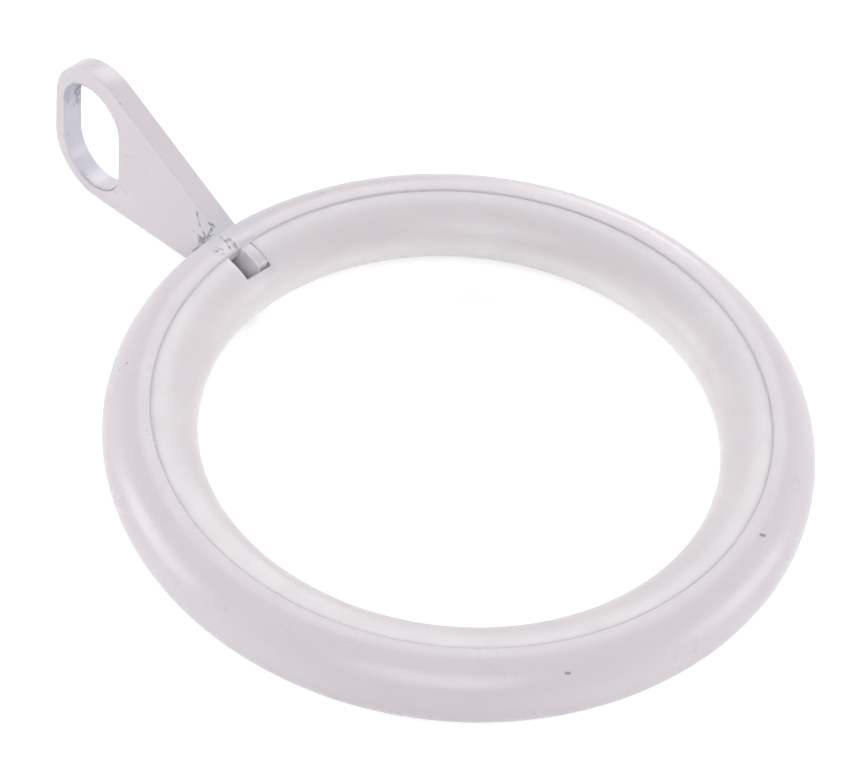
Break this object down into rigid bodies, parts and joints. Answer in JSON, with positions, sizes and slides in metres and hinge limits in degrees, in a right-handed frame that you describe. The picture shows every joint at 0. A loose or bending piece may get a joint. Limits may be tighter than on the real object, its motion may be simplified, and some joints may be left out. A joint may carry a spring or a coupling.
{
  "type": "curtain ring",
  "caption": "Curtain ring: a C-section steel hoop with a snap-in nylon glide liner and a flat slotted eyelet held in its joint for the curtain hook.",
  "frame": {"origin": "centre of the ring on its axis, half way through its thickness, where the middle of the pole passes", "axes": "+Z along the ring's axis, the way the pole runs; +X from the centre through the eyelet; +Y completes the frame"},
  "size_m": [0.0601, 0.045, 0.0109],
  "materials": {
    "painted_shell": "glossy white paint on rolled steel",
    "nylon_liner": "milky, slightly translucent nylon, satin",
    "painted_eyelet": "white paint on stamped steel, worn to bare metal where the hook hangs"
  },
  "bodies": {
    "ring": {"ring_shell": "painted_shell", "eyelet": "painted_eyelet"},
    "liner": {"liner": "nylon_liner"}
  },
  "joints": [
    {"name": "liner_slip", "type": "hinge", "parent": "ring", "child": "liner", "pos_m": [0, 0, 0], "axis": [0, 0, 1], "range_deg": [-3, 0]}
  ]
}
